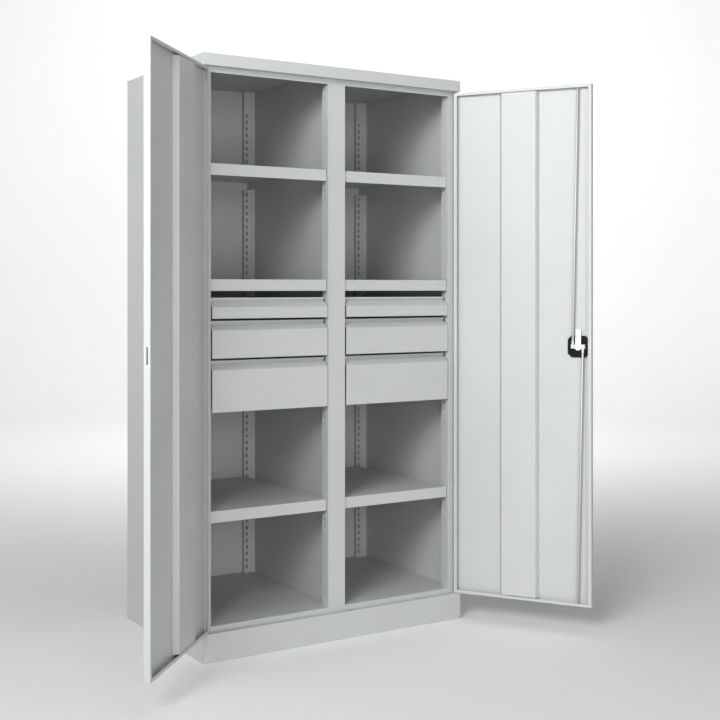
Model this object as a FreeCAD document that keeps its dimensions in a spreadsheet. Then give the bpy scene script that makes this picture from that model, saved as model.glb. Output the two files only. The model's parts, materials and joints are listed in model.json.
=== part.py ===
"""Heavy-duty sheet-steel cabinet with two hinged doors, six shelves and six drawers.

Frame: origin on the floor at the centre of the carcass, +X to the right, +Y to the back, +Z up, millimetres.
"""
import FreeCAD, Part
import math
import os
from types import SimpleNamespace

import Sketcher

# Driving dimensions: each independent size is written once, in millimetres, degrees or counts.
SIZES = {
    # carcass
    "width": 1020.0,
    "depth": 650.0,
    "height": 1950.0,
    "carcass_sheet": 1.2,
    "cap_lip_height": 38.5,
    "cap_rail_drop": 18.0,
    "plinth_height": 92.5,
    "plinth_flange": 40.0,
    "sill_height": 16.0,
    "frame_setback": 25.0,
    "post_width": 37.0,
    "post_depth": 40.0,
    "centre_post_width": 67.0,
    "upright_depth": 18.0,
    "upright_reach": 13.0,
    # rows of shelf slots
    "slot_pitch": 25.0,
    "slot_height": 12.0,
    "slot_width": 6.0,
    "slot_margin": 17.5,
    "slot_inset": 2.0,
    "post_slot_start": 3,
    "post_slot_every": 5,
    "post_slot_setback": 24.0,
    # shelves and their clips
    "shelf_sheet": 1.2,
    "shelf_lip_height": 38.0,
    "shelf_flange_height": 30.0,
    "shelf_hem": 10.0,
    "shelf_setback": 7.5,
    "shelf_side_gap": 3.0,
    "shelf_rear_gap": 4.0,
    "upper_shelf_step": 11,
    "middle_shelf_step": 8,
    "lower_shelf_step": 2,
    "clip_sheet": 1.5,
    "clip_width": 14.0,
    "clip_reach": 12.0,
    "clip_height": 16.0,
    "clip_drop": 4.0,
    "clip_tab_length": 4.0,
    "clip_tab_clearance": 0.5,
    # doors, measured from the pivot axis
    "door_sheet": 1.2,
    "door_thickness": 20.0,
    "door_side_gap": 1.0,
    "door_centre_gap": 3.0,
    "door_top_gap": 7.0,
    "door_bottom_gap": 2.5,
    "door_lip_width": 12.0,
    "door_end_lip_height": 10.0,
    "pivot_inset": 9.0,
    "pivot_setback": 9.0,
    "left_door_angle": 133.9,
    "right_door_angle": 122.1,
    "left_stiffener_start": 125.0,
    "left_stiffener_width": 140.0,
    "right_stiffener_start": 173.0,
    "right_stiffener_width": 126.0,
    "stiffener_slant": 10.0,
    "stiffener_foot": 12.0,
    "stiffener_end_gap": 2.0,
    # door pivots
    "pivot_pin_radius": 4.0,
    "pivot_clearance": 0.05,
    "pivot_shoulder_radius": 7.0,
    "pivot_shoulder_clearance": 0.3,
    "pivot_pin_overlap": 10.0,
    # three-point lock in the right door
    "lock_edge_distance": 49.5,
    "lock_level": 995.0,
    "lock_plate_size": 75.0,
    "lock_plate_chamfer": 13.0,
    "lock_plate_thickness": 7.0,
    "cam_thickness": 3.0,
    "cam_clearance": 0.8,
    "cam_hub_radius": 13.0,
    "cam_arm_width": 14.0,
    "crank_radius": 18.0,
    "crank_pin_radius": 3.0,
    "crank_pin_clearance": 0.05,
    "tongue_length": 60.0,
    "tongue_width": 20.0,
    "tongue_slot_clearance": 1.0,
    "rod_radius": 4.0,
    "rod_eye_radius": 6.5,
    "rod_eye_thickness": 3.0,
    "rod_eye_clearance": 0.4,
    "rod_neck_start": 5.2,
    "rod_neck_length": 24.0,
    "rod_tip_clearance": 0.5,
    "rod_slot_clearance": 4.5,
    "rod_slot_gap": 0.8,
    "spindle_radius": 6.0,
    "spindle_clearance": 0.05,
    "handle_gap": 0.4,
    "handle_boss_radius": 19.0,
    "handle_boss_height": 22.0,
    "handle_length": 105.0,
    "handle_root_width": 24.0,
    "handle_tip_width": 16.0,
    "handle_thickness": 11.0,
    "handle_tip_slimming": 2.75,
    "handle_offset": 9.0,
    "cylinder_radius": 8.0,
    "cylinder_length": 3.0,
    "key_slot_width": 1.6,
    "key_slot_height": 8.0,
    "key_slot_depth": 1.5,
    # drawers
    "drawer_sheet": 1.2,
    "drawer_bank_top": 1167.0,
    "drawer_gap": 7.0,
    "small_drawer_height": 68.0,
    "medium_drawer_height": 122.0,
    "large_drawer_height": 167.0,
    "drawer_front_gap": 4.0,
    "drawer_front_proud": 3.0,
    "drawer_front_return": 14.0,
    "grip_height": 31.0,
    "grip_setback": 24.0,
    "grip_lip_height": 7.0,
    "grip_recess_height": 7.0,
    "grip_recess_depth": 6.0,
    "drawer_box_length": 540.0,
    "drawer_box_lift": 12.0,
    "runner_height": 18.0,
    "runner_depth": 8.0,
    "runner_clearance": 0.4,
    "runner_box_gap": 0.6,
    "runner_hold": 10.0,
}

# Drawing planes: in plan, seen from the front and seen from the side
FLAT, FACING, SIDEWAYS = "XY_Plane", "XZ_Plane", "YZ_Plane"
QUARTER_TURN, HALF_TURN = 90, 180
# Slack that keeps a count from losing its last step to rounding
COUNT_SLACK = 1e-9


class Size:
    """A size that carries its value and the spreadsheet formula that gives it."""

    def __init__(self, value, text):
        self.value = value
        self.text = text

    def __add__(self, other):
        return combine(self, "+", other)

    def __radd__(self, other):
        return combine(other, "+", self)

    def __sub__(self, other):
        return combine(self, "-", other)

    def __rsub__(self, other):
        return combine(other, "-", self)

    def __mul__(self, other):
        return combine(self, "*", other)

    def __rmul__(self, other):
        return combine(other, "*", self)

    def __truediv__(self, other):
        return combine(self, "/", other)

    def __neg__(self):
        return combine(0, "-", self)


def sized(number):
    """A plain number as a size."""
    if isinstance(number, Size):
        return number
    return Size(float(number), str(number))


def combine(left, sign, right):
    """The sum, difference, product or quotient of two sizes, as a size."""
    left, right = sized(left), sized(right)
    results = {
        "+": left.value + right.value,
        "-": left.value - right.value,
        "*": left.value * right.value,
    }
    value = left.value / right.value if sign == "/" else results[sign]
    return Size(value, f"({left.text} {sign} {right.text})")


def root(size):
    """The square root of a size."""
    return Size(math.sqrt(size.value), f"sqrt({size.text})")


def whole(size):
    """The whole number at or below a size."""
    return Size(float(math.floor(size.value + COUNT_SLACK)), f"floor({size.text} + {COUNT_SLACK:.9f})")


doc = FreeCAD.newDocument("cabinet")
sheet = doc.addObject("Spreadsheet::Sheet", "Sizes")
for row, (alias, number) in enumerate(SIZES.items(), start=1):
    sheet.set(f"A{row}", alias)
    sheet.set(f"B{row}", str(number))
    sheet.setAlias(f"B{row}", alias)
doc.recompute()
S = SimpleNamespace()
for alias, number in SIZES.items():
    setattr(S, alias, Size(float(number), f"Sizes.{alias}"))

# Planes and places that several pieces share
FRONT = -S.depth / 2
REAR = S.depth / 2
FRAME = FRONT + S.frame_setback
INNER = S.width / 2 - S.carcass_sheet
BACK_FACE = REAR - S.carcass_sheet
UPRIGHT_FACE = BACK_FACE - S.upright_depth
FLOOR_TOP = S.plinth_height + S.sill_height
CEILING = S.height - S.carcass_sheet
CAP_UNDERSIDE = S.height - S.cap_lip_height
OPENING_TOP = CAP_UNDERSIDE - S.cap_rail_drop
BAY_WIDTH = S.width / 2 - S.post_width - S.centre_post_width / 2
BAY_CENTRE = S.centre_post_width / 2 + BAY_WIDTH / 2
BAYS = {"left": -1, "right": 1}
FIRST_SLOT = FLOOR_TOP + S.slot_margin
SLOT_TOP = OPENING_TOP - S.slot_margin - S.slot_height
SLOT_COUNT = whole((SLOT_TOP - FIRST_SLOT) / S.slot_pitch) + 1
FIRST_POST_SLOT = FIRST_SLOT + S.slot_pitch * S.post_slot_start
POST_SLOT_PITCH = S.slot_pitch * S.post_slot_every
POST_SLOT_COUNT = whole((SLOT_TOP - FIRST_POST_SLOT) / POST_SLOT_PITCH) + 1
POST_SLOT_MIDDLE = FRAME + S.post_slot_setback

parts = {}


def bind(feature, name, size):
    """Ties one property of a feature to its spreadsheet formula."""
    feature.setExpression(name, sized(size).text)


def place(feature, x=0, y=0, z=0, turn=None):
    """Ties a sub-part's place, and its turn about the upright axis, to the spreadsheet."""
    feature.Placement = FreeCAD.Placement(FreeCAD.Vector(), turned(1))
    for axis, size in (("x", x), ("y", y), ("z", z)):
        bind(feature, f"Placement.Base.{axis}", size)
    bind(feature, "Placement.Rotation.Angle", 0 if turn is None else turn)


def turned(angle):
    """Turn about the upright axis, in degrees."""
    return FreeCAD.Rotation(FreeCAD.Vector(0, 0, 1), angle)


def new_body(name):
    """An empty sub-part whose label names its node."""
    body = doc.addObject("PartDesign::Body", name)
    body.Label = name
    parts[name] = body
    return body


def circle(x, y, radius):
    """A round loop of a sketch."""
    return {"centre": (sized(x), sized(y)), "radius": sized(radius)}


def rectangle(x0, y0, x1, y1):
    """A four-cornered loop of a sketch."""
    return [(x0, y0), (x1, y0), (x1, y1), (x0, y1)]


def fix_point(sketch, index, position, x, y):
    """Ties one point of a sketch to the sketch's origin."""
    for kind, size in (("DistanceX", x), ("DistanceY", y)):
        number = sketch.addConstraint(Sketcher.Constraint(kind, -1, 1, index, position, size.value))
        sketch.setExpression(f"Constraints[{number}]", size.text)


def draw(body, name, plane, loops, start, length):
    """A fully constrained sketch that stands where a feature running up its axis has to begin."""
    sketch = body.newObject("Sketcher::SketchObject", name)
    support = next(item for item in body.Origin.OriginFeatures if item.Role == plane)
    sketch.AttachmentSupport = [(support, "")]
    sketch.MapMode = "FlatFace"
    offset = -(start + length) if plane == FACING else start
    bind(sketch, "AttachmentOffset.Base.z", offset)
    for loop in loops:
        if isinstance(loop, dict):
            x, y = loop["centre"]
            centre = FreeCAD.Vector(x.value, y.value, 0)
            index = sketch.addGeometry(Part.Circle(centre, FreeCAD.Vector(0, 0, 1), loop["radius"].value))
            fix_point(sketch, index, 3, x, y)
            number = sketch.addConstraint(Sketcher.Constraint("Radius", index, loop["radius"].value))
            sketch.setExpression(f"Constraints[{number}]", loop["radius"].text)
            continue
        corners = [(sized(x), sized(y)) for x, y in loop]
        spots = [FreeCAD.Vector(x.value, y.value, 0) for x, y in corners]
        lines = [
            sketch.addGeometry(Part.LineSegment(spot, spots[(i + 1) % len(spots)]))
            for i, spot in enumerate(spots)
        ]
        for i, line in enumerate(lines):
            sketch.addConstraint(Sketcher.Constraint("Coincident", line, 2, lines[(i + 1) % len(lines)], 1))
            fix_point(sketch, line, 1, *corners[i])
    return sketch


def pad(body, name, plane, loops, start, length):
    """Material from start over a length along the axis square to the plane."""
    start, length = sized(start), sized(length)
    feature = body.newObject("PartDesign::Pad", name)
    feature.Profile = draw(body, f"{name}_sketch", plane, loops, start, length)
    bind(feature, "Length", length)
    body.Tip = feature
    return feature


def pocket(body, name, plane, loops, start, length):
    """A cut from start over a length along the axis square to the plane."""
    start, length = sized(start), sized(length)
    feature = body.newObject("PartDesign::Pocket", name)
    feature.Profile = draw(body, f"{name}_sketch", plane, loops, start, length)
    feature.Reversed = True
    bind(feature, "Length", length)
    body.Tip = feature
    return feature


def repeat_upwards(body, name, feature, count, pitch):
    """Copies of a feature, one pitch apart, straight up."""
    pattern = body.newObject("PartDesign::LinearPattern", name)
    pattern.Originals = [feature]
    upright = next(item for item in body.Origin.OriginFeatures if item.Role == "Z_Axis")
    pattern.Direction = (upright, [""])
    pattern.Mode = "Extent"
    bind(pattern, "Length", (count - 1) * pitch)
    bind(pattern, "Occurrences", count)
    body.Tip = pattern


def folded(path, thickness, side):
    """Outline of a sheet bent at right angles: side 1 puts the thickness left of the path, -1 right."""
    path = [(sized(x), sized(y)) for x, y in path]
    normals = []
    for (ax, ay), (bx, by) in zip(path, path[1:]):
        run, rise = bx.value - ax.value, by.value - ay.value
        length = math.hypot(run, rise)
        normals.append((-side * round(rise / length), side * round(run / length)))
    offset = []
    for i, (x, y) in enumerate(path):
        touching = set(normals[max(i - 1, 0):i + 1])
        across = sum(normal[0] for normal in touching)
        along = sum(normal[1] for normal in touching)
        offset.append((x + thickness * across if across else x, y + thickness * along if along else y))
    return path + offset[::-1]


def mirrored(points, hand):
    """Points with their first coordinate taken to the left or right hand."""
    return [(sized(x) * hand, y) for x, y in points]


def span(hand, near, far):
    """Start and length of a stretch between two distances from the middle, on either hand."""
    near, far = sized(near), sized(far)
    return (near if hand > 0 else -far), far - near


# Carcass panels

def side_panel(name, hand):
    """Flat side with its front edge set back between cap and plinth, where the door closes."""
    body = new_body(name)
    outline = [
        (FRONT, 0), (REAR, 0), (REAR, S.height), (FRONT, S.height), (FRONT, CAP_UNDERSIDE),
        (FRAME, CAP_UNDERSIDE), (FRAME, S.plinth_height), (FRONT, S.plinth_height),
    ]
    start, length = span(hand, INNER, S.width / 2)
    pad(body, f"{name}_plate", SIDEWAYS, [outline], start, length)


def back_panel():
    """Flat back sheet between the side panels."""
    body = new_body("back_panel")
    pad(body, "back_plate", FACING, [rectangle(-INNER, 0, INNER, CEILING)], BACK_FACE, S.carcass_sheet)


def rod_slot():
    """Outline of the slot that a locking rod slides through, in the plan of the closed right door."""
    x = PIVOT_X - LOCK_REACH
    y = PIVOT_Y + ROD_PLANE
    half = S.rod_radius + S.rod_slot_clearance
    deep = S.rod_radius + S.rod_slot_gap
    return rectangle(x - half, y - deep, x + half, y + deep)


def top_cap():
    """Roof sheet folded down into the front lip, back under it and down again as the frame's top rail."""
    body = new_body("top_cap")
    path = [
        (REAR, S.height), (FRONT, S.height), (FRONT, CAP_UNDERSIDE),
        (FRAME, CAP_UNDERSIDE), (FRAME, OPENING_TOP),
    ]
    pad(body, "cap_fold", SIDEWAYS, [folded(path, S.carcass_sheet, 1)], -INNER, INNER * 2)
    pocket(body, "cap_rod_slot", FLAT, [rod_slot()], CAP_UNDERSIDE, S.carcass_sheet)


def plinth_frame():
    """Welded base ring of an angle at the floor, four upright walls and a flange that carries the floor."""
    body = new_body("plinth_frame")
    outer = rectangle(-INNER, FRONT, INNER, BACK_FACE)

    def ring(inset):
        return [outer, rectangle(-INNER + inset, FRONT + inset, INNER - inset, BACK_FACE - inset)]

    pad(body, "floor_angle", FLAT, ring(S.plinth_flange), 0, S.carcass_sheet)
    pad(body, "plinth_walls", FLAT, ring(S.carcass_sheet), 0, S.plinth_height)
    under_flange = S.plinth_height - S.carcass_sheet
    pad(body, "upper_flange", FLAT, ring(S.plinth_flange), under_flange, S.carcass_sheet)
    pocket(body, "plinth_rod_slot", FLAT, [rod_slot()], under_flange, S.carcass_sheet)


def floor_panel():
    """Bottom sheet with the sill folded down at its front edge and a flange at its rear."""
    body = new_body("floor_panel")
    path = [
        (FRAME, S.plinth_height), (FRAME, FLOOR_TOP), (BACK_FACE, FLOOR_TOP), (BACK_FACE, S.plinth_height),
    ]
    pad(body, "floor_fold", SIDEWAYS, [folded(path, S.carcass_sheet, -1)], -INNER, INNER * 2)


def cut_post_slots(body, name, start):
    """Row of shelf slots through one upright return of a post."""
    middle, half = POST_SLOT_MIDDLE, S.slot_width / 2
    loop = rectangle(middle - half, FIRST_POST_SLOT, middle + half, FIRST_POST_SLOT + S.slot_height)
    first = pocket(body, f"{name}_slot", SIDEWAYS, [loop], start, S.carcass_sheet)
    repeat_upwards(body, f"{name}_slots", first, POST_SLOT_COUNT, POST_SLOT_PITCH)


def front_post(name, hand):
    """Folded channel beside the opening; its inner return carries the shelf slots."""
    body = new_body(name)
    edge = S.width / 2 - S.post_width
    path = [(INNER, FRAME + S.post_depth), (INNER, FRAME), (edge, FRAME), (edge, FRAME + S.post_depth)]
    outline = folded(mirrored(path, hand), S.carcass_sheet, -hand)
    pad(body, f"{name}_channel", FLAT, [outline], FLOOR_TOP, OPENING_TOP - FLOOR_TOP)
    start, _ = span(hand, edge, edge + S.carcass_sheet)
    cut_post_slots(body, name, start)


def centre_post():
    """Wide channel between the bays, slotted in both returns."""
    body = new_body("centre_post")
    edge = S.centre_post_width / 2
    path = [(edge, FRAME + S.post_depth), (edge, FRAME), (-edge, FRAME), (-edge, FRAME + S.post_depth)]
    outline = folded(path, S.carcass_sheet, -1)
    pad(body, "centre_channel", FLAT, [outline], FLOOR_TOP, OPENING_TOP - FLOOR_TOP)
    for side, hand in BAYS.items():
        start, _ = span(hand, edge - S.carcass_sheet, edge)
        cut_post_slots(body, f"centre_{side}", start)


def partition():
    """Sheet that divides the bays, from the centre post to the back."""
    body = new_body("partition")
    half = S.carcass_sheet / 2
    first = FRAME + S.carcass_sheet
    loop = rectangle(first, FLOOR_TOP, BACK_FACE, CEILING)
    pad(body, "partition_plate", SIDEWAYS, [loop], -half, S.carcass_sheet)


def rear_upright(name, hand, wall, edge, slot):
    """Slotted channel that stands in a rear corner, from the wall to its free edge."""
    body = new_body(name)
    path = [(wall, BACK_FACE), (wall, UPRIGHT_FACE), (edge, UPRIGHT_FACE), (edge, BACK_FACE)]
    turn = -hand if wall.value > edge.value else hand
    outline = folded(mirrored(path, hand), S.carcass_sheet, turn)
    pad(body, f"{name}_channel", FLAT, [outline], FLOOR_TOP, CEILING - FLOOR_TOP)
    start, length = span(hand, slot - S.slot_width / 2, slot + S.slot_width / 2)
    loop = rectangle(start, FIRST_SLOT, start + length, FIRST_SLOT + S.slot_height)
    first = pocket(body, f"{name}_slot", FACING, [loop], UPRIGHT_FACE, S.carcass_sheet)
    repeat_upwards(body, f"{name}_slots", first, SLOT_COUNT, S.slot_pitch)


# Shelves

SHELF_WIDTH = BAY_WIDTH - S.shelf_side_gap * 2
SHELF_FRONT = FRAME + S.shelf_setback
SHELF_REAR = UPRIGHT_FACE - S.shelf_rear_gap
SHELF_STEPS = {"upper": S.upper_shelf_step, "middle": S.middle_shelf_step, "lower": S.lower_shelf_step}


def ledge_height(step):
    """Height of the ledge of the clips that hang at a slot of the posts, counted from the lowest one."""
    return FIRST_POST_SLOT + step * POST_SLOT_PITCH - S.clip_drop


def shelf(name, hand, step):
    """Tray with a deep hemmed front lip and shallower flanges at its rear and ends."""
    body = new_body(name)
    sheet_size = S.shelf_sheet
    path = [
        (SHELF_FRONT + S.shelf_hem, -S.shelf_lip_height), (SHELF_FRONT, -S.shelf_lip_height), (SHELF_FRONT, 0),
        (SHELF_REAR, 0), (SHELF_REAR, -S.shelf_flange_height),
    ]
    half = SHELF_WIDTH / 2
    pad(body, f"{name}_fold", SIDEWAYS, [folded(path, sheet_size, -1)], -half, SHELF_WIDTH)
    end = rectangle(SHELF_FRONT, -S.shelf_flange_height, SHELF_REAR, 0)
    pad(body, f"{name}_left_end", SIDEWAYS, [end], -half, sheet_size)
    pad(body, f"{name}_right_end", SIDEWAYS, [end], half - sheet_size, sheet_size)
    place(body, x=BAY_CENTRE * hand, z=ledge_height(step) + S.shelf_flange_height)


def clip_template():
    """One shelf clip: a plate against the slotted face at x = 0, a ledge, and a tab through the slot."""
    body = doc.addObject("PartDesign::Body", "clip_template")
    half = S.clip_width / 2
    ledge = [
        (0, -S.clip_sheet), (0, S.clip_height), (-S.clip_sheet, S.clip_height), (-S.clip_sheet, 0),
        (-S.clip_reach, 0), (-S.clip_reach, -S.clip_sheet),
    ]
    pad(body, "clip_fold", FACING, [ledge], -half, S.clip_width)
    tab_half = S.slot_width / 2 - S.clip_tab_clearance
    tab_low = S.clip_drop + S.clip_tab_clearance
    tab_high = S.clip_drop + S.slot_height - S.clip_tab_clearance
    tab = rectangle(-tab_half, tab_low, tab_half, tab_high)
    pad(body, "clip_tab", SIDEWAYS, [tab], -S.clip_sheet / 2, S.clip_tab_length + S.clip_sheet / 2)
    doc.recompute()
    return body.Shape.copy()


def shelf_clips():
    """Every clip of the six shelves: two on the posts and two on the rear uprights for each shelf."""
    clip = clip_template()
    clips = []
    post_y = POST_SLOT_MIDDLE.value
    half_bay = BAY_WIDTH.value / 2
    slot_x = half_bay - S.slot_inset.value
    for hand in BAYS.values():
        for step in SHELF_STEPS.values():
            for end in (-1, 1):
                level = ledge_height(step).value
                middle = BAY_CENTRE.value * hand
                on_post = FreeCAD.Vector(middle + end * half_bay, post_y, level)
                on_upright = FreeCAD.Vector(middle + end * slot_x, UPRIGHT_FACE.value, level)
                post_turn = 0 if end > 0 else HALF_TURN
                for spot, turn in ((on_post, post_turn), (on_upright, QUARTER_TURN)):
                    copy = clip.copy()
                    copy.Placement = FreeCAD.Placement(spot, turned(turn))
                    clips.append(copy)
    group = doc.addObject("Part::Feature", "shelf_clips")
    group.Shape = Part.makeCompound(clips)
    parts["shelf_clips"] = group


# Doors: drawn closed, with the pivot axis at the local origin and the door running along +X or -X

PIVOT_X = S.width / 2 - S.pivot_inset
PIVOT_Y = FRONT + S.pivot_setback
DOOR_EDGE = S.door_side_gap - S.pivot_inset
DOOR_END = PIVOT_X - S.door_centre_gap / 2
DOOR_FACE = -S.pivot_setback
DOOR_INSIDE = DOOR_FACE + S.door_sheet
DOOR_RIM = DOOR_FACE + S.door_thickness
DOOR_BOTTOM = S.plinth_height + S.door_bottom_gap
DOOR_TOP = CAP_UNDERSIDE - S.door_top_gap
DOOR_TURNS = {"left": -S.left_door_angle, "right": S.right_door_angle}
STIFFENERS = {
    "left": (S.left_stiffener_start, S.left_stiffener_width),
    "right": (S.right_stiffener_start, S.right_stiffener_width),
}

LOCK_REACH = DOOR_END - S.lock_edge_distance
CAM_FACE = DOOR_INSIDE + S.lock_plate_thickness + S.cam_clearance
CAM_BACK = CAM_FACE + S.cam_thickness
EYE_FACE = CAM_BACK + S.rod_eye_clearance
ROD_PLANE = EYE_FACE + S.rod_eye_thickness / 2
EDGE_DISTANCE = S.lock_edge_distance - S.door_sheet
HALF_TONGUE = S.tongue_width / 2
TONGUE_RISE = root(
    S.tongue_length * S.tongue_length + HALF_TONGUE * HALF_TONGUE - EDGE_DISTANCE * EDGE_DISTANCE
)


def hang(body, side):
    """Sets a door piece on its pivot axis at the angle that the door stands open."""
    hand = BAYS[side]
    place(body, x=PIVOT_X * hand, y=PIVOT_Y, turn=DOOR_TURNS[side])


def towards(side):
    """Direction from the pivot to the free edge of a closed door: 1 for the left door, -1 for the right."""
    return -BAYS[side]


def door_pan(side):
    """Door skin with folded edges, return lips all round, and the holes for pivots and lock."""
    body = new_body(f"{side}_door_pan")
    way = towards(side)
    path = [
        (DOOR_EDGE + S.door_lip_width, DOOR_RIM), (DOOR_EDGE, DOOR_RIM), (DOOR_EDGE, DOOR_FACE),
        (DOOR_END, DOOR_FACE), (DOOR_END, DOOR_RIM), (DOOR_END - S.door_lip_width, DOOR_RIM),
    ]
    outline = folded(mirrored(path, way), S.door_sheet, way)
    height = DOOR_TOP - DOOR_BOTTOM
    pad(body, f"{side}_skin", FLAT, [outline], DOOR_BOTTOM, height)
    flange = mirrored(rectangle(DOOR_EDGE, DOOR_FACE, DOOR_END, DOOR_RIM), way)
    lip_height = S.door_end_lip_height
    lip_face = DOOR_RIM - S.door_sheet
    ends = {
        "bottom": (DOOR_BOTTOM, DOOR_BOTTOM),
        "top": (DOOR_TOP - S.door_sheet, DOOR_TOP - lip_height),
    }
    for end, (flange_low, lip_low) in ends.items():
        pad(body, f"{side}_{end}_flange", FLAT, [flange], flange_low, S.door_sheet)
        lip = mirrored(rectangle(DOOR_EDGE, lip_low, DOOR_END, lip_low + lip_height), way)
        pad(body, f"{side}_{end}_lip", FACING, [lip], lip_face, S.door_sheet)
    pivot_hole = circle(0, 0, S.pivot_pin_radius + S.pivot_clearance)
    pocket(body, f"{side}_pivot_holes", FLAT, [pivot_hole], DOOR_BOTTOM, height)
    gap = S.tongue_slot_clearance
    low = S.lock_level - HALF_TONGUE - gap
    high = S.lock_level + TONGUE_RISE + gap
    loop = rectangle(CAM_FACE - gap, low, CAM_BACK + gap, high)
    start, length = span(way, DOOR_END - S.door_sheet, DOOR_END)
    pocket(body, f"{side}_tongue_slot", SIDEWAYS, [loop], start, length)
    if side == "right":
        half = S.rod_radius + S.rod_slot_clearance
        deep = S.rod_radius + S.rod_slot_gap
        slot = rectangle(LOCK_REACH - half, ROD_PLANE - deep, LOCK_REACH + half, lip_face)
        pocket(body, "rod_slots", FLAT, [mirrored(slot, way)], DOOR_BOTTOM, height)
        hole = circle(LOCK_REACH * way, S.lock_level, S.spindle_radius + S.spindle_clearance)
        pocket(body, "spindle_hole", FACING, [hole], DOOR_FACE, S.door_sheet)
    hang(body, side)


def door_stiffener(side):
    """Hat section with sloping walls, spot-welded inside the skin between the end lips."""
    body = new_body(f"{side}_door_stiffener")
    way = towards(side)
    sheet_size = S.door_sheet
    foot_top = DOOR_INSIDE + sheet_size
    rise = DOOR_RIM - foot_top
    slant = S.stiffener_slant
    first, width = STIFFENERS[side]
    last = first + width
    shift = sheet_size * root(1 + slant * slant / (rise * rise))
    step = slant * sheet_size / rise
    outer = [
        (first - slant - S.stiffener_foot, foot_top), (first - slant, foot_top), (first, DOOR_RIM),
        (last, DOOR_RIM), (last + slant, foot_top), (last + slant + S.stiffener_foot, foot_top),
    ]
    inner = [
        (last + slant + S.stiffener_foot, DOOR_INSIDE), (last + slant + step - shift, DOOR_INSIDE),
        (last + step - shift, DOOR_RIM - sheet_size), (first - step + shift, DOOR_RIM - sheet_size),
        (first - slant - step + shift, DOOR_INSIDE), (first - slant - S.stiffener_foot, DOOR_INSIDE),
    ]
    inset = S.door_end_lip_height + S.stiffener_end_gap
    length = DOOR_TOP - DOOR_BOTTOM - inset * 2
    pad(body, f"{side}_hat", FLAT, [mirrored(outer + inner, way)], DOOR_BOTTOM + inset, length)
    hang(body, side)


def pivot_pins():
    """Four fixed pins: two stand on the plinth with a shoulder under the door, and two hang from the cap."""
    group = []
    upper_start = DOOR_TOP - S.door_sheet - S.pivot_pin_overlap
    lower_end = DOOR_BOTTOM + S.door_sheet + S.pivot_pin_overlap
    shoulder_height = S.door_bottom_gap - S.pivot_shoulder_clearance
    levels = {"lower": (S.plinth_height, lower_end), "upper": (upper_start, CAP_UNDERSIDE)}
    for side, hand in BAYS.items():
        for level, (low, high) in levels.items():
            name = f"{side}_{level}_pin"
            pin = doc.addObject("PartDesign::Body", name)
            pad(pin, f"{name}_shaft", FLAT, [circle(0, 0, S.pivot_pin_radius)], low, high - low)
            if level == "lower":
                shoulder = [circle(0, 0, S.pivot_shoulder_radius)]
                pad(pin, f"{name}_shoulder", FLAT, shoulder, low, shoulder_height)
            place(pin, x=PIVOT_X * hand, y=PIVOT_Y)
            group.append(pin)
    pins = doc.addObject("Part::Compound", "pivot_pins")
    pins.Links = group
    parts["pivot_pins"] = pins


# Three-point lock, all on the right door, whose local X runs negative from the pivot

LOCK_X = -LOCK_REACH
HANDLE_BACK = DOOR_FACE - S.handle_gap


def lock_plate():
    """Housing with cut corners, screwed inside the door skin round the spindle."""
    body = new_body("lock_plate")
    half = S.lock_plate_size / 2
    cut = half - S.lock_plate_chamfer
    corners = [
        (cut, -half), (half, -cut), (half, cut), (cut, half),
        (-cut, half), (-half, cut), (-half, -cut), (-cut, -half),
    ]
    outline = [(LOCK_X + x, S.lock_level + z) for x, z in corners]
    bore = circle(LOCK_X, S.lock_level, S.spindle_radius + S.spindle_clearance)
    pad(body, "lock_body", FACING, [outline, bore], DOOR_INSIDE, S.lock_plate_thickness)
    hang(body, "right")


def lock_cam():
    """Cam with a tongue standing up, two crank arms and their pins, drawn unlocked."""
    body = new_body("lock_cam")
    half_arm = S.cam_arm_width / 2
    reach = S.crank_radius + half_arm
    cross = [
        (reach, half_arm), (HALF_TONGUE, half_arm), (HALF_TONGUE, S.tongue_length),
        (-HALF_TONGUE, S.tongue_length), (-HALF_TONGUE, half_arm), (-reach, half_arm),
        (-reach, -half_arm), (reach, -half_arm),
    ]
    outline = [(LOCK_X + x, S.lock_level + z) for x, z in cross]
    pad(body, "cam_plate", FACING, [outline], CAM_FACE, S.cam_thickness)
    hub = circle(LOCK_X, S.lock_level, S.cam_hub_radius)
    pad(body, "cam_hub", FACING, [hub], CAM_FACE, S.cam_thickness)
    pins = [circle(LOCK_X + S.crank_radius * hand, S.lock_level, S.crank_pin_radius) for hand in (-1, 1)]
    pin_end = EYE_FACE + S.rod_eye_thickness + S.rod_eye_clearance
    pad(body, "crank_pins", FACING, pins, CAM_FACE, pin_end - CAM_FACE)
    hang(body, "right")


def right_hinge():
    """Place of the right door's pivot axis, turned as the door stands."""
    spot = FreeCAD.Vector(PIVOT_X.value, PIVOT_Y.value, 0)
    return FreeCAD.Placement(spot, turned(S.right_door_angle.value))


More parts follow.
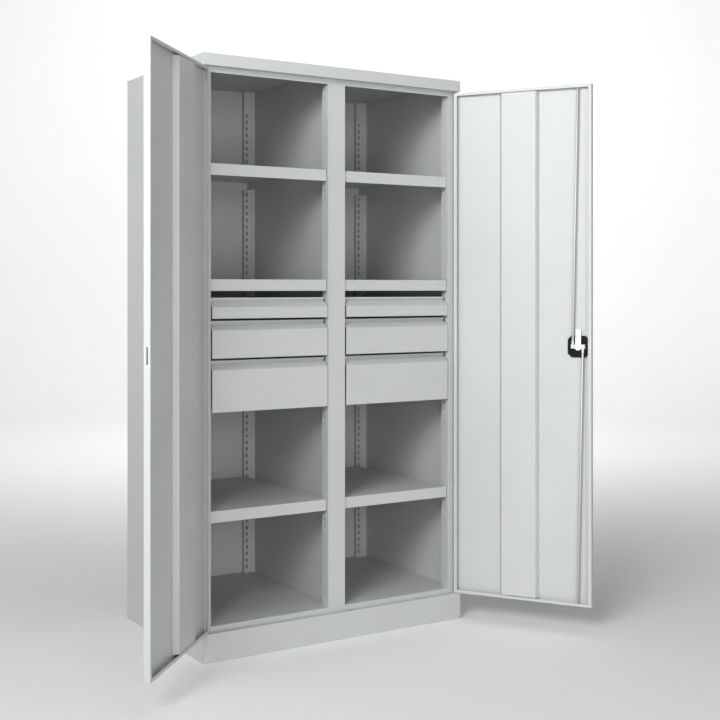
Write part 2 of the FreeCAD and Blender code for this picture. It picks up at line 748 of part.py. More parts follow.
def locking_rod(name, up):
    """Round rod from a flat eye on its crank pin to its guide slot at the door's edge, leaning a little."""
    body = new_body(name)
    pin_x = LOCK_X + S.crank_radius * up
    tip = DOOR_TOP - S.rod_tip_clearance if up > 0 else DOOR_BOTTOM + S.rod_tip_clearance
    reach = (tip - S.lock_level) * up
    eye = [circle(0, 0, S.rod_eye_radius), circle(0, 0, S.crank_pin_radius + S.crank_pin_clearance)]
    half = S.rod_eye_thickness / 2
    pad(body, f"{name}_eye", FACING, eye, -half, S.rod_eye_thickness)
    neck = rectangle(-S.rod_radius, S.rod_neck_start * up, S.rod_radius, S.rod_neck_length * up)
    pad(body, f"{name}_neck", FACING, [neck], -half, S.rod_eye_thickness)
    run_low = S.rod_neck_length - S.rod_radius
    start = run_low if up > 0 else -reach
    pad(body, f"{name}_bar", FLAT, [circle(0, 0, S.rod_radius)], start, reach - run_low)
    tilt = FreeCAD.Rotation(FreeCAD.Vector(0, 1, 0), ROD_LEAN[name])
    spot = FreeCAD.Vector(pin_x.value, ROD_PLANE.value, S.lock_level.value)
    body.Placement = right_hinge().multiply(FreeCAD.Placement(spot, tilt))


def lean_of(length):
    """Angle at which a rod leans from its guide to its crank pin, in degrees."""
    return math.degrees(math.asin(S.crank_radius.value / length.value))


ROD_LEAN = {
    "upper_locking_rod": -lean_of(DOOR_TOP - S.lock_level),
    "lower_locking_rod": -lean_of(S.lock_level - DOOR_BOTTOM),
}


def lock_spindle():
    """Shaft through the door that joins the handle to the cam."""
    body = new_body("lock_spindle")
    shaft = circle(LOCK_X, S.lock_level, S.spindle_radius)
    pad(body, "spindle_shaft", FACING, [shaft], HANDLE_BACK, CAM_FACE - HANDLE_BACK)
    hang(body, "right")


def set_handle(body):
    """Places a piece drawn round the spindle's axis, with the handle's back at local y = 0."""
    spot = FreeCAD.Vector(LOCK_X.value, HANDLE_BACK.value, S.lock_level.value)
    body.Placement = right_hinge().multiply(FreeCAD.Placement(spot, FreeCAD.Rotation()))


def lock_handle():
    """Turn handle: a round boss with a tapered lever that hangs down when the lock is open."""
    body = new_body("lock_handle")
    tall = S.handle_boss_height
    pad(body, "handle_boss", FACING, [circle(0, 0, S.handle_boss_radius)], -tall, tall)
    doc.recompute()
    inner, outer = -S.handle_offset, -S.handle_offset - S.handle_thickness
    slim = S.handle_tip_slimming
    root_half, tip_half = S.handle_root_width / 2, S.handle_tip_width / 2
    root_loop = rectangle(-root_half, outer, root_half, inner)
    tip_loop = rectangle(-tip_half, outer + slim, tip_half, inner - slim)
    lever = body.newObject("PartDesign::AdditiveLoft", "handle_lever")
    lever.Profile = draw(body, "handle_root_sketch", FLAT, [root_loop], sized(0), sized(0))
    lever.Sections = [draw(body, "handle_tip_sketch", FLAT, [tip_loop], -S.handle_length, sized(0))]
    lever.Ruled = True
    body.Tip = lever
    doc.recompute()
    pocket(body, "cylinder_socket", FACING, [circle(0, 0, S.cylinder_radius)], -tall, S.cylinder_length)
    set_handle(body)


def key_cylinder():
    """Lock cylinder in the middle of the handle, with its key slot."""
    body = new_body("key_cylinder")
    low = -S.handle_boss_height
    pad(body, "cylinder_plug", FACING, [circle(0, 0, S.cylinder_radius)], low, S.cylinder_length)
    half, tall = S.key_slot_width / 2, S.key_slot_height / 2
    pocket(body, "key_slot", FACING, [rectangle(-half, -tall, half, tall)], low, S.key_slot_depth)
    set_handle(body)


# Drawers: drawn shut, with the flat of the front at local y = 0 and its lower edge at z = 0

FRONT_WIDTH = BAY_WIDTH - S.drawer_front_gap * 2
RUNNER_SPACE = S.carcass_sheet + S.runner_clearance + S.runner_depth
BOX_WIDTH = BAY_WIDTH - RUNNER_SPACE * 2
BOX_START = S.grip_setback + S.grip_recess_depth + S.drawer_sheet
DRAWER_HEIGHTS = {
    "top": S.small_drawer_height, "middle": S.medium_drawer_height, "bottom": S.large_drawer_height,
}


def drawer_level(row):
    """Height of a drawer front's lower edge above the floor."""
    level = S.drawer_bank_top
    for name, height in DRAWER_HEIGHTS.items():
        level = level - height
        if name == row:
            return level
        level = level - S.drawer_gap


def set_drawer(body, hand, row):
    """Places a drawer piece in its bay, shut."""
    place(body, x=BAY_CENTRE * hand, y=FRAME - S.drawer_front_proud, z=drawer_level(row))


def drawer_front(side, row):
    """Front panel whose top is folded back as a sloping band, a finger recess and a lip."""
    name = f"{side}_{row}_drawer_front"
    body = new_body(name)
    height, t = DRAWER_HEIGHTS[row], S.drawer_sheet
    band_top = height - S.grip_lip_height - S.grip_recess_height
    band_low = height - S.grip_height
    rise, run = band_top - band_low, S.grip_setback
    drop = t * root(1 + rise * rise / (run * run))
    deep = S.grip_setback + S.grip_recess_depth
    lip_low = height - S.grip_lip_height
    outer = [
        (S.drawer_front_return, 0), (0, 0), (0, band_low), (run, band_top), (deep, band_top),
        (deep, lip_low), (run, lip_low), (run, height), (BOX_START, height),
    ]
    inner = [
        (BOX_START, height - t), (run + t, height - t), (run + t, lip_low + t), (BOX_START, lip_low + t),
        (BOX_START, band_top - t), (run * (rise - t + drop) / rise, band_top - t),
        (t, band_low + t * rise / run - drop), (t, t), (S.drawer_front_return, t),
    ]
    pad(body, f"{name}_fold", SIDEWAYS, [outer + inner], -FRONT_WIDTH / 2, FRONT_WIDTH)
    set_drawer(body, BAYS[side], row)


def drawer_box(side, row):
    """Open tray behind the front."""
    name = f"{side}_{row}_drawer_box"
    body = new_body(name)
    t, half = S.drawer_sheet, BOX_WIDTH / 2
    end = BOX_START + S.drawer_box_length
    height = DRAWER_HEIGHTS[row] - S.drawer_box_lift
    pad(body, f"{name}_block", FLAT, [rectangle(-half, BOX_START, half, end)], S.drawer_box_lift, height)
    inside = rectangle(-half + t, BOX_START + t, half - t, end - t)
    pocket(body, f"{name}_inside", FLAT, [inside], S.drawer_box_lift + t, height - t)
    set_drawer(body, BAYS[side], row)


def drawer_rails(side, row):
    """Pair of channels along the lower edges of the box, open outwards."""
    name = f"{side}_{row}_drawer_rails"
    rails = []
    near, far = BOX_WIDTH / 2, BOX_WIDTH / 2 + S.runner_depth
    low, high = S.drawer_box_lift, S.drawer_box_lift + S.runner_height
    for end, hand in BAYS.items():
        body = doc.addObject("PartDesign::Body", f"{name}_{end}")
        path = mirrored([(far, low), (near, low), (near, high), (far, high)], hand)
        outline = folded(path, S.drawer_sheet, -hand)
        pad(body, f"{name}_{end}_channel", FACING, [outline], BOX_START, S.drawer_box_length)
        set_drawer(body, BAYS[side], row)
        rails.append(body)
    group = doc.addObject("Part::Compound", name)
    group.Links = rails
    parts[name] = group


def drawer_runners(side, row):
    """Pair of fixed channels, from the post returns to the rear uprights, that the drawer's rails run in."""
    name = f"{side}_{row}_drawer_runners"
    runners = []
    wall = BAY_WIDTH / 2
    tip = wall - RUNNER_SPACE + S.runner_box_gap
    allowance = S.runner_clearance + S.carcass_sheet
    low, high = S.drawer_box_lift - allowance, S.drawer_box_lift + S.runner_height + allowance
    start = FRAME + S.post_depth - S.runner_hold
    for end, hand in BAYS.items():
        body = doc.addObject("PartDesign::Body", f"{name}_{end}")
        path = mirrored([(tip, low), (wall, low), (wall, high), (tip, high)], hand)
        outline = folded(path, S.carcass_sheet, hand)
        pad(body, f"{name}_{end}_channel", FACING, [outline], start, UPRIGHT_FACE - start)
        place(body, x=BAY_CENTRE * BAYS[side], z=drawer_level(row))
        runners.append(body)
    group = doc.addObject("Part::Compound", name)
    group.Links = runners
    parts[name] = group


def build():
    """Makes every sub-part of the cabinet."""
    for side, hand in BAYS.items():
        side_panel(f"{side}_side_panel", hand)
        front_post(f"{side}_front_post", hand)
        outer = S.width / 2 - S.post_width
        name = f"{side}_rear_upright"
        rear_upright(name, hand, INNER, outer - S.upright_reach, outer - S.slot_inset)
        inner = S.centre_post_width / 2
        name = f"centre_{side}_rear_upright"
        rear_upright(name, hand, S.carcass_sheet / 2, inner + S.upright_reach, inner + S.slot_inset)
        for level, step in SHELF_STEPS.items():
            shelf(f"{side}_{level}_shelf", hand, step)
        door_pan(side)
        door_stiffener(side)
        for row in DRAWER_HEIGHTS:
            drawer_front(side, row)
            drawer_box(side, row)
            drawer_rails(side, row)
            drawer_runners(side, row)
    back_panel()
    top_cap()
    plinth_frame()
    floor_panel()
    centre_post()
    partition()
    shelf_clips()
    pivot_pins()
    lock_plate()
    lock_cam()
    locking_rod("upper_locking_rod", 1)
    locking_rod("lower_locking_rod", -1)
    lock_spindle()
    lock_handle()
    key_cylinder()
    doc.recompute()


def check():
    """Stops the script if any object failed or any sub-part has no sound shape."""
    for item in doc.Objects:
        if {"Invalid", "Error"} & set(item.State):
            raise RuntimeError(f"{item.Name} failed: {item.State}")
    for name, part in parts.items():
        if part.Shape.isNull() or not part.Shape.isValid():
            raise RuntimeError(f"{name} has no valid shape")


build()
check()
os.makedirs("parts", exist_ok=True)
for name, part in parts.items():
    part.Shape.exportStep(f"parts/{name}.step")
print(f"{len(parts)} sub-parts written")
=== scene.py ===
# %% [markdown]
# # A heavy-duty steel cabinet
# The cabinet is folded from thin sheet steel and powder coated in light grey. Its solids come from the CAD
# model, which is imported as a fixed frame: nothing in it is moved or reshaped here. This lesson gives those
# solids the finish of the real thing: rounded folds, paint with a fine grain, plated metal and rows of
# punched slots, and a studio to see them in.

# %% Load the frame
import json
import math

import bmesh
import bpy
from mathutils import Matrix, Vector


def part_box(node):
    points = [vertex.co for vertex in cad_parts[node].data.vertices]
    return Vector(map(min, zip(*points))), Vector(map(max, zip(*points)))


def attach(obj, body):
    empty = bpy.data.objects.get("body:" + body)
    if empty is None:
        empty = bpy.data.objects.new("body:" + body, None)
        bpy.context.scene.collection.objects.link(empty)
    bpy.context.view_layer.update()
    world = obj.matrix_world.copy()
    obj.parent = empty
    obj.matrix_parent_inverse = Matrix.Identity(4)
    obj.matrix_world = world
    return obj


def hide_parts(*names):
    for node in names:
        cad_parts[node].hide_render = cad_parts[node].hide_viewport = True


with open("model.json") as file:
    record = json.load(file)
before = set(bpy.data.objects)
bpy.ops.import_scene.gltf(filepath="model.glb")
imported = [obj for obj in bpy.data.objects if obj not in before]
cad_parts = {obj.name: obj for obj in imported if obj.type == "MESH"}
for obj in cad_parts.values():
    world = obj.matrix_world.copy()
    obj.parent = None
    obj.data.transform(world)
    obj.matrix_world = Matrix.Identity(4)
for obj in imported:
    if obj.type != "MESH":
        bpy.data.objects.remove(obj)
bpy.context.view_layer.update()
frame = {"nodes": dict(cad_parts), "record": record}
nodes = frame["nodes"]
record = frame["record"]
body_of = {node: body for body, members in record["behaviour"]["bodies"].items() for node in members}
MM = 0.001

# %% [markdown]
# ## Finishes
# Every finish is procedural, so that it needs no image file, and reads Object coordinates, so that the grain
# stays on the metal when a door swings. A few helpers keep the recipes below short. Two add nodes and links
# to a material. Two spread a noise, which runs from nought to one, over colours and over roughness.


# %% Helpers for materials
def add_node(tree, kind, **settings):
    """A node of a tree, with its sockets and properties set by name."""
    made = tree.nodes.new(kind)
    for key, value in settings.items():
        if key in made.inputs:
            made.inputs[key].default_value = value
        else:
            setattr(made, key, value)
    return made


def new_finish(name):
    """A material with its shader, and functions that add nodes and links to it."""
    material = bpy.data.materials.new(name)
    material.use_nodes = True
    tree = material.node_tree
    shader = tree.nodes["Principled BSDF"]

    def node(kind, **settings):
        return add_node(tree, kind, **settings)

    def link(source, output, target, socket):
        tree.links.new(source.outputs[output], target.inputs[socket])

    return material, shader, node, link


def colours_between(node, low, high, stops):
    """A colour ramp from one colour to another."""
    made = node("ShaderNodeValToRGB")
    for stop, position, colour in zip(made.color_ramp.elements, stops, (low, high)):
        stop.position = position
        stop.color = (*colour, 1)
    return made


def roughness_between(node, low, high):
    """A map range that turns a noise into roughness."""
    made = node("ShaderNodeMapRange")
    made.inputs["To Min"].default_value = low
    made.inputs["To Max"].default_value = high
    return made


print("finishes to make:", *sorted({part["material_slot"] for part in record["subparts"]}))

# %% [markdown]
# Powder coat is sprayed on as dust and melted in an oven. Up close it has a soft orange-peel surface, which a
# fine noise gives as bump. Over a panel, colour and gloss drift by a few per cent, which a broad noise gives.


# %% Powder coat
DRIFT_SCALE = 2.2
DRIFT_STOPS = 0.3, 0.7
COAT_SMOOTHER = 0.05
COAT_ROUGHER = 0.07
COAT_BUMP = 0.35


def powder_coat(name, low, high, roughness, shine, grain_size, grain_depth):
    """Sprayed and baked paint: a slow drift of colour and gloss, and an orange-peel bump."""
    material, shader, node, link = new_finish(name)
    shader.inputs["Specular IOR Level"].default_value = shine
    place = node("ShaderNodeTexCoord")
    drift = node("ShaderNodeTexNoise", Scale=DRIFT_SCALE, Detail=3.0, Roughness=0.5)
    colours = colours_between(node, low, high, DRIFT_STOPS)
    gloss = roughness_between(node, roughness - COAT_SMOOTHER, roughness + COAT_ROUGHER)
    grain = node("ShaderNodeTexNoise", Scale=1.0 / grain_size, Detail=2.0, Roughness=0.45)
    bump = node("ShaderNodeBump", Strength=COAT_BUMP, Distance=grain_depth)
    link(place, "Object", drift, "Vector")
    link(drift, "Fac", colours, "Fac")
    link(drift, "Fac", gloss, "Value")
    link(colours, "Color", shader, "Base Color")
    link(gloss, "Result", shader, "Roughness")
    link(place, "Object", grain, "Vector")
    link(grain, "Fac", bump, "Height")
    link(bump, "Normal", shader, "Normal")
    return material


GREY = {"low": (0.475, 0.487, 0.495), "high": (0.505, 0.517, 0.525)}
grey_paint = powder_coat(
    "grey_paint", **GREY, roughness=0.46, shine=0.5, grain_size=1.6 * MM, grain_depth=0.05 * MM)
print("powder coat:", grey_paint.name)

# %% [markdown]
# Rods, clips, pins and runners are zinc plated. Plating is bright and a little streaky along the drawing
# direction, so a noise that is stretched along Z changes its gloss and tint. The stamped cam gets a paler,
# partly metallic copy of the zinc, whose paler colour is a painted highlight for the bright light it shows.


# %% Zinc plate
STREAK_SCALE = 260.0
DULL_SHARE = 0.86
TINT_STOPS = 0.0, 1.0
PLATE_SMOOTHER = 0.08
PLATE_ROUGHER = 0.12
PLATE_BUMP = 0.12
PLATE_GRAIN_DEPTH = 0.03 * MM


def plated(name, colour, roughness, streak, metal):
    """Plated steel with streaks along the height."""
    material, shader, node, link = new_finish(name)
    shader.inputs["Metallic"].default_value = metal
    place = node("ShaderNodeTexCoord")
    stretch = node("ShaderNodeMapping", Scale=(1.0, 1.0, streak))
    noise = node("ShaderNodeTexNoise", Scale=STREAK_SCALE, Detail=4.0, Roughness=0.6)
    dull = [DULL_SHARE * channel for channel in colour]
    tint = colours_between(node, dull, colour, TINT_STOPS)
    gloss = roughness_between(node, roughness - PLATE_SMOOTHER, roughness + PLATE_ROUGHER)
    bump = node("ShaderNodeBump", Strength=PLATE_BUMP, Distance=PLATE_GRAIN_DEPTH)
    link(place, "Object", stretch, "Vector")
    link(stretch, "Vector", noise, "Vector")
    link(noise, "Fac", gloss, "Value")
    link(noise, "Fac", tint, "Fac")
    link(noise, "Fac", bump, "Height")
    link(tint, "Color", shader, "Base Color")
    link(gloss, "Result", shader, "Roughness")
    link(bump, "Normal", shader, "Normal")
    return material


zinc = plated("zinc_plate", (0.60, 0.61, 0.62), roughness=0.56, streak=0.12, metal=0.8)
# The cam's paler zinc is a lit copy of the zinc: its colour is a painted highlight.
painted_highlight_zinc = plated("painted_highlight_zinc_plate", (0.84, 0.85, 0.85), roughness=0.40, streak=1.0, metal=0.45)
bright = plated("bright_nickel", (0.86, 0.86, 0.85), roughness=0.18, streak=1.0, metal=1.0)
print("plated metals:", zinc.name, painted_highlight_zinc.name, bright.name)

# %% [markdown]
# The lock plate and handle are black. It is the same kind of coat as the cabinet's, only darker and finer, so
# the recipe is used again with other values. Then every CAD node gets the finish that the record names.

# %% Black fittings
BLACK = {"low": (0.003, 0.003, 0.004), "high": (0.006, 0.006, 0.007)}
black = powder_coat(
    "black_fittings", **BLACK, roughness=0.5, shine=0.12, grain_size=0.9 * MM, grain_depth=0.03 * MM)
finishes = {"grey_paint": grey_paint, "zinc": zinc, "black_fittings": black, "bright_cylinder": bright}
for part in record["subparts"]:
    mesh = nodes[part["node"]].data
    mesh.materials.clear()
    mesh.materials.append(finishes[part["material_slot"]])
# The cam gets the paler zinc, whose colour is a painted highlight.
nodes["lock_cam"].data.materials[0] = painted_highlight_zinc
print("finish given to", len(record["subparts"]), "nodes")

# %% [markdown]
# ## Cut edges
# A cut edge of sheet is softened by its paint. A Bevel on the sharp edges gives the thin highlights that make
# sheet metal readable. The imported meshes are loose triangles, so a Weld joins them first. Both stay as
# modifiers, which leave the CAD mesh as it is.

# %% Soften the edges
EDGE_WIDTH = 0.3 * MM
EDGE_STEPS = 2
SHARP_ANGLE = math.radians(32)
JOIN_DISTANCE = 0.002 * MM


def soften(part):
    """Rounds the sharp edges of a piece by a small width."""
    weld = part.modifiers.new("join", "WELD")
    weld.merge_threshold = JOIN_DISTANCE
    bevel = part.modifiers.new("round", "BEVEL")
    bevel.width = EDGE_WIDTH
    bevel.segments = EDGE_STEPS
    bevel.limit_method = "ANGLE"
    bevel.angle_limit = SHARP_ANGLE
    bevel.use_clamp_overlap = True
    bevel.harden_normals = True


for part in nodes.values():
    soften(part)
print("edges rounded on", len(nodes), "nodes")

# %% [markdown]
# ## Folds
# Sheet steel is bent over a die, so the outside of a fold has a radius a little over the sheet's thickness,
# several times the softening of a cut edge. On the CAD nodes every corner is sharp. A copy of each painted
# sheet is made with its triangles merged into flat faces. An edge counts as a fold when it is long, convex,
# and has two millimetres of sheet on both sides all along, and only those edges get the larger radius. An
# edge that a slot comes close to keeps the fine bevel, because the radius would fold the slot's rim over
# itself.

# %% Round the folds
FOLD_RADIUS = 1.3 * MM
FOLD_STEPS = 3
FOLD_LENGTH = 40.0 * MM
FOLD_REACH = 2.0 * MM
FOLD_TEST_STEP = 8.0 * MM
FOLD_ANGLE = math.radians(40)
FLAT_ANGLE = math.radians(0.5)


def is_fold(edge):
    """Whether sheet runs on for a few millimetres on both sides of a long, sharp, convex edge."""
    if len(edge.link_faces) != 2 or edge.calc_length() < FOLD_LENGTH:
        return False
    if not edge.is_convex or edge.calc_face_angle() < FOLD_ANGLE:
        return False
    first, last = (vert.co for vert in edge.verts)
    tests = int(edge.calc_length() / FOLD_TEST_STEP)
    spots = [first.lerp(last, (test + 0.5) / tests) for test in range(tests)]
    for face in edge.link_faces:
        aside = face.normal.cross((last - first).normalized()) * FOLD_REACH
        for spot in spots:
            if not any(bmesh.geometry.intersect_face_point(face, spot + way * aside) for way in (-1, 1)):
                return False
    return True


def folded_copy(part, name):
    """A new mesh of a CAD node with its corners joined, its flat faces merged and its folds rounded."""
    shape = bmesh.new()
    shape.from_mesh(part.data)
    bmesh.ops.remove_doubles(shape, verts=shape.verts, dist=JOIN_DISTANCE)
    bmesh.ops.dissolve_limit(shape, angle_limit=FLAT_ANGLE, verts=shape.verts, edges=shape.edges)
    for face in shape.faces:
        face.smooth = False
    folds = [edge for edge in shape.edges if is_fold(edge)]
    bmesh.ops.bevel(
        shape, geom=folds, offset=FOLD_RADIUS, segments=FOLD_STEPS, profile=0.5, affect="EDGES")
    mesh = bpy.data.meshes.new(name)
    shape.to_mesh(mesh)
    shape.free()
    if "custom_normal" in mesh.attributes:
        mesh.attributes.remove(mesh.attributes["custom_normal"])
    return mesh, len(folds)


print(f"folds get a radius of {FOLD_RADIUS / MM:.1f} mm, cut edges {EDGE_WIDTH / MM:.1f} mm")

# %% [markdown]
# ## Punched sheet
# A turret press punches the same slot again and again before the sheet is folded. The drawer sides have rows
# of narrow upright slots for divider plates, with a line pressed into the sheet above each row to stiffen it,
# and the posts have one shelf slot every 25 mm. Hundreds of slots are tedious to cut one at a time, so a
# Geometry Nodes tree sets out points in rows, puts a cutter on each, and takes them all from the sheet in one
# Boolean.

# %% A tree that punches rows of slots
PUNCHING_INPUTS = {
    "Sheet": "Geometry",
    "First Slot": "Vector",
    "Slot Size": "Vector",
    "Slot Step": "Vector",
    "Slots": "Int",
    "Row Step": "Vector",
    "Rows": "Int",
    "First Line": "Vector",
    "Line Size": "Vector",
    "Wall Step": "Vector",
    "Lines": "Int",
    "Paint": "Material",
}
DRAWER_WALLS = 2


def punching_tree():
    """Geometry Nodes that cut rows of slots, and pressed lines one row apart, into a folded sheet."""
    tree = bpy.data.node_groups.new("punched_sheet", "GeometryNodeTree")
    for name, kind in PUNCHING_INPUTS.items():
        tree.interface.new_socket(name=name, in_out="INPUT", socket_type=f"NodeSocket{kind}")
    tree.interface.new_socket(name="Sheet", in_out="OUTPUT", socket_type="NodeSocketGeometry")
    given = tree.nodes.new("NodeGroupInput")
    result = tree.nodes.new("NodeGroupOutput")

    def link(source, output, target, socket):
        tree.links.new(source.outputs[output], target.inputs[socket])

    def row_of(step, **fixed):
        line = add_node(tree, "GeometryNodeMeshLine", mode="OFFSET", **fixed)
        link(given, step, line, "Offset")
        return line

    def copies(points, shape):
        spread = add_node(tree, "GeometryNodeInstanceOnPoints")
        real = add_node(tree, "GeometryNodeRealizeInstances")
        link(points, 0, spread, "Points")
        link(shape, 0, spread, "Instance")
        link(spread, "Instances", real, "Geometry")
        return real

    def cutters(first, rows, across, size):
        down = row_of("Row Step")
        block = add_node(tree, "GeometryNodeMeshCube")
        link(given, first, down, "Start Location")
        link(given, rows, down, "Count")
        link(given, size, block, "Size")
        return copies(copies(down, across), block)

    along = row_of("Slot Step")
    link(given, "Slots", along, "Count")
    slots = cutters("First Slot", "Rows", along, "Slot Size")
    lines = cutters("First Line", "Lines", row_of("Wall Step", Count=DRAWER_WALLS), "Line Size")
    cut = add_node(tree, "GeometryNodeMeshBoolean", operation="DIFFERENCE", solver="EXACT")
    real = add_node(tree, "GeometryNodeRealizeInstances")
    paint = add_node(tree, "GeometryNodeSetMaterial")
    link(given, "Sheet", cut, "Mesh 1")
    link(slots, "Geometry", cut, "Mesh 2")
    link(lines, "Geometry", cut, "Mesh 2")
    link(cut, "Mesh", real, "Geometry")
    link(real, "Geometry", paint, "Geometry")
    link(given, "Paint", paint, "Material")
    link(paint, "Geometry", result, "Sheet")
    return tree


punching = punching_tree()
print("tree:", punching.name, "with", len(punching.nodes), "nodes")

# %% [markdown]
# A modifier keeps the tree's inputs under the identifier of each socket, and they are set before the sheet is
# first evaluated. The edges are softened before the punching, because a punched slot keeps its sharp rim. The
# evaluated mesh is then copied into a plain object, which rides with the same body as the CAD node and stands
# for it.

# %% From a sheet to a plain piece
sockets = {item.name: item.identifier for item in punching.interface.items_tree if item.in_out == "INPUT"}
replaced = set()


def softened_sheet(name, mesh):
    """A mesh as an object with softened edges."""
    sheet = bpy.data.objects.new(f"{name}_start", mesh)
    bpy.context.scene.collection.objects.link(sheet)
    soften(sheet)
    return sheet


def painted_piece(sheet, name, node):
    """A plain object with a sheet's evaluated mesh, which rides with a CAD node's body and stands for it."""
    view = bpy.context.evaluated_depsgraph_get()
    mesh = bpy.data.meshes.new_from_object(sheet.evaluated_get(view))
    sheet.modifiers.clear()
    bpy.data.objects.remove(sheet)
    piece = bpy.data.objects.new(name, mesh)
    bpy.context.scene.collection.objects.link(piece)
    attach(piece, body_of[node])
    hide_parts(node)
    replaced.add(node)
    return piece


def punched(name, node, values):
    """A punched copy of a CAD node that stands for the node."""
    mesh, folds = folded_copy(nodes[node], f"{name}_sheet")
    sheet = softened_sheet(name, mesh)
    press = sheet.modifiers.new("press", "NODES")
    press.node_group = punching
    for key, value in values.items():
        press[sockets[key]] = value
    press[sockets["Paint"]] = grey_paint
    piece = painted_piece(sheet, name, node)
    slots = values["Rows"] * values["Slots"]
    print(name, slots, "slots,", folds, "folds,", len(piece.data.polygons), "faces")


print("inputs of the tree:", sockets)

# %% [markdown]
# A drawer is a folded tray. One cutter is as long as the tray is wide, so that it punches both sides at once.
# The low drawers have room for one row between runner and rim, and the deep ones for two. Each kind of drawer
# has its number of rows, the height of a slot, and the rise from the tray's underside to the first row.

# %% Punch the trays
SLOT_WIDTH = 3.2 * MM
SLOT_PITCH = 27.0 * MM
SLOT_MARGIN = 40.0 * MM
SLOT_ROWS = {
    "top": (1, 24.0 * MM, 23.0 * MM),
    "middle": (1, 28.0 * MM, 48.0 * MM),
    "bottom": (2, 28.0 * MM, 22.0 * MM),
}
ROW_STEP = 76.0 * MM
LINE_HEIGHT = 1.6 * MM
LINE_DEPTH = 0.5 * MM
LINE_RISE = 4.0 * MM
for side in ("left", "right"):
    for row, (rows, slot_height, rise) in SLOT_ROWS.items():
        drawer = f"{side}_{row}_drawer"
        low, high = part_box(f"{drawer}_box")
        width = high[0] - low[0]
        run = high[1] - low[1] - 2 * SLOT_MARGIN
        slots = int(run / SLOT_PITCH) + 1
        across = (low[0] + high[0]) / 2
        along = (low[1] + high[1]) / 2
        level = low[2] + rise + slot_height / 2
        punched(f"{drawer}_tray", f"{drawer}_box", {
            "First Slot": (across, along - (slots - 1) * SLOT_PITCH / 2, level),
            "Slot Size": (width + SLOT_WIDTH, SLOT_WIDTH, slot_height),
            "Slot Step": (0.0, SLOT_PITCH, 0.0),
            "Slots": slots,
            "Row Step": (0.0, 0.0, ROW_STEP),
            "Rows": rows,
            "First Line": (low[0], along, level + slot_height / 2 + LINE_RISE),
            "Line Size": (2 * LINE_DEPTH, run + SLOT_PITCH, LINE_HEIGHT),
            "Wall Step": (width, 0.0, 0.0),
            "Lines": rows,
        })

# %% [markdown]
# The CAD posts carry only every fifth shelf slot. The real posts are punched from end to end, so that a shelf
# can hang at any height, and the same tree adds the missing slots. Each cutter is a little larger than a CAD
# slot, so that it takes the softened rim of that slot with it. The outer posts have a slotted return on their
# inner side only, and the centre post on both.

# %% Punch the posts
POST_PITCH = 25.0 * MM
POST_FIRST = 132.0 * MM
POST_ROWS = 70
POST_SLOT = 3.0 * MM, 6.8 * MM, 12.8 * MM
POST_SETBACK = 24.0 * MM
RETURN_SHEET = 1.2 * MM
RETURNS = {"left_front_post": 1, "centre_post": 2, "right_front_post": 1}
for post, returns in RETURNS.items():
    low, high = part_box(post)
    first = high[0] - RETURN_SHEET / 2 if post == "left_front_post" else low[0] + RETURN_SHEET / 2
    punched(f"{post}_punched", post, {
        "First Slot": (first, low[1] + POST_SETBACK, POST_FIRST),
        "Slot Size": POST_SLOT,
        "Slot Step": (high[0] - low[0] - RETURN_SHEET, 0.0, 0.0),
        "Slots": returns,
        "Row Step": (0.0, 0.0, POST_PITCH),
        "Rows": POST_ROWS,
        "Lines": 0,
    })

# %% [markdown]
# The other painted sheets have nothing to punch. They only need their folds rounded and their cut edges
# softened, and then they stand for their nodes in the same way. A flat sheet has no fold, and its CAD node
# stays.

# %% Round the folds of the other sheets
for part in record["subparts"]:
    node = part["node"]
    if part["material_slot"] != "grey_paint" or node in replaced:
        continue
    mesh, folds = folded_copy(nodes[node], f"{node}_sheet")
    if not folds:
        continue
    mesh.materials.append(grey_paint)
    piece = painted_piece(softened_sheet(node, mesh), f"{node}_folded", node)
    print(piece.name, folds, "folds,", len(piece.data.polygons), "faces")

# %% [markdown]
# ## Floor
# The floor is a pale round sheet that bends up far away on all sides, so that every view has a plain
# background. Its profile is a flat run, a quarter circle and an upright, turned round the middle.

# %% Floor
FLOOR_COLOUR = 0.86, 0.86, 0.86, 1
FLOOR_ROUGHNESS = 0.9
BEND_STEPS = 6


def pale_floor(reach, bend, height, turns):
    """A round floor that curves up into a wall all round."""
    material, shader, *_ = new_finish("studio_floor")
    shader.inputs["Base Color"].default_value = FLOOR_COLOUR
    shader.inputs["Roughness"].default_value = FLOOR_ROUGHNESS
    curve = [math.radians(90) * step / BEND_STEPS for step in range(BEND_STEPS + 1)]
    profile = [(reach + bend * math.sin(angle), bend - bend * math.cos(angle)) for angle in curve]
    profile.append((reach + bend, height))
    spokes = [math.tau * turn / turns for turn in range(turns)]
    points = [(0.0, 0.0, 0.0)]
    for radius, level in profile:
        points += [(radius * math.cos(spoke), radius * math.sin(spoke), level) for spoke in spokes]
    faces = [(0, 1 + i, 1 + (i + 1) % turns) for i in range(turns)]
    for ring in range(len(profile) - 1):
        low = 1 + ring * turns
        high = low + turns
        faces += [(low + i, high + i, high + (i + 1) % turns, low + (i + 1) % turns) for i in range(turns)]
    mesh = bpy.data.meshes.new("studio_floor")
    mesh.from_pydata(points, [], faces)
    for face in mesh.polygons:
        face.use_smooth = True
    mesh.materials.append(material)
    floor = bpy.data.objects.new("studio_floor", mesh)
    bpy.context.scene.collection.objects.link(floor)
    return floor


floor = pale_floor(reach=7.0, bend=2.5, height=7.0, turns=72)
print("floor:", floor.name, "with", len(floor.data.polygons), "faces")

# %% [markdown]
# ## Lamps
# A large soft lamp stands to the left of the camera and high, so the inside of the right door, which faces
# it, is the brightest surface, and the inside of the left door, which turns away, the darkest. A lamp with a
# grid adds light to the upper part of the right door alone, another brightens the left side, a weak low one
# keeps the compartments readable, one overhead lights the roof and the floor, and one behind the cabinet
# lights the background.


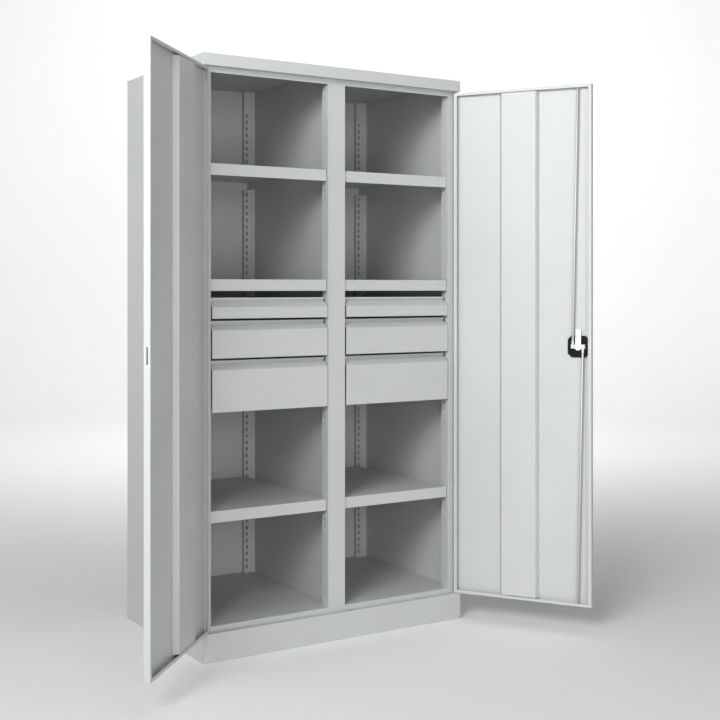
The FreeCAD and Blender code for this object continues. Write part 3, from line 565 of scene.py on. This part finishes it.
# %% Lamps
def soft_lamp(name, place, aim, size, power, spread=180):
    """A square area lamp that looks at a point; a small spread is a grid that narrows its beam."""
    lamp = bpy.data.lights.new(name, "AREA")
    lamp.shape = "SQUARE"
    lamp.size = size
    lamp.spread = math.radians(spread)
    lamp.energy = power
    holder = bpy.data.objects.new(name, lamp)
    holder.location = place
    holder.rotation_euler = (Vector(aim) - Vector(place)).to_track_quat("-Z", "Y").to_euler()
    holder.visible_camera = False
    bpy.context.scene.collection.objects.link(holder)
    return holder


lamps = [
    soft_lamp("key_lamp", (-4.2, -3.6, 3.6), aim=(0.0, 0.0, 1.2), size=2.2, power=224),
    soft_lamp("door_lamp", (-5.0, -2.0, 2.8), aim=(0.5, -0.4, 1.8), size=2.0, power=10, spread=50),
    soft_lamp("side_lamp", (-5.2, -0.8, 2.6), aim=(0.0, 0.0, 1.0), size=2.5, power=20),
    soft_lamp("fill_lamp", (-1.4, -5.6, 1.2), aim=(0.0, 0.0, 1.0), size=2.5, power=98),
    soft_lamp("top_lamp", (0.0, -1.8, 5.2), aim=(0.0, -0.4, 0.5), size=3.0, power=30),
    soft_lamp("background_lamp", (2.2, 3.0, 5.2), aim=(4.6, 7.5, 1.5), size=4.0, power=340),
]
print("lamps:", *(lamp.name for lamp in lamps))

# %% [markdown]
# A faint white sky keeps the deepest shadows from going black. The Standard view transform shows the light as
# it is, without the softer contrast of a film look, so a white door stays white.

# %% Sky
SKY_COLOUR = 1, 1, 1, 1
SKY_STRENGTH = 0.03
world = bpy.data.worlds.new("studio")
world.use_nodes = True
sky = world.node_tree.nodes["Background"]
sky.inputs["Color"].default_value = SKY_COLOUR
sky.inputs["Strength"].default_value = SKY_STRENGTH
bpy.context.scene.world = world
bpy.context.scene.view_settings.view_transform = "Standard"
print("sky strength:", SKY_STRENGTH)

# %% [markdown]
# ## Camera
# The camera stands where the photograph's did: at a little over chest height, to the left of the cabinet,
# level, and with the lens shifted down, as a product photographer does to keep upright edges upright.

# %% Camera
LENS = 60.85
SENSOR_WIDTH = 36.0
LENS_SHIFT = -0.0998
CAMERA_PLACE = -2.159, -3.865, 1.198
CAMERA_TURN = 32.30
CAMERA_TILT = 90
camera = bpy.data.cameras.new("camera")
camera.lens = LENS
camera.sensor_width = SENSOR_WIDTH
camera.shift_y = LENS_SHIFT
viewer = bpy.data.objects.new("camera", camera)
viewer.location = CAMERA_PLACE
viewer.rotation_euler = (math.radians(CAMERA_TILT), 0.0, math.radians(-CAMERA_TURN))
bpy.context.scene.collection.objects.link(viewer)
bpy.context.scene.camera = viewer
print("camera at", CAMERA_PLACE)
